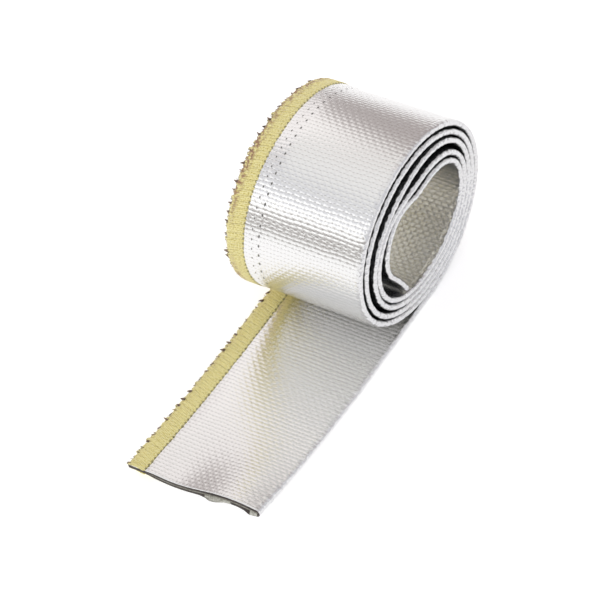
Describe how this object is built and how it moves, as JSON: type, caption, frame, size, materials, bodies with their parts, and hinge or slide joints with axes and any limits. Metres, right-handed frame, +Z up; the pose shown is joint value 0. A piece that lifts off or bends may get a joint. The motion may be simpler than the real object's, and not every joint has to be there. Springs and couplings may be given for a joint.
{
  "type": "heat shield sleeve",
  "caption": "Flat heat shield sleeve of aluminium-faced glass cloth with one overlocked edge, wound into a loose roll that stands on its own tail.",
  "frame": {"origin": "on the floor, in the middle of the part's length and width", "axes": "+X along the roll's axis and across the sleeve, from the overlocked edge to the folded edge; the tail points to -Y and the roll lies at +Y; +Z up"},
  "size_m": [0.0472, 0.1346, 0.0622],
  "materials": {
    "foil_cloth": "aluminium-faced glass cloth, satin foil embossed by the weave",
    "aramid_thread": "yellow aramid overlock thread, matt"
  },
  "bodies": {
    "root": {"foil_cloth_sleeve": "foil_cloth", "overlock_thread": "aramid_thread"}
  },
  "joints": []
}
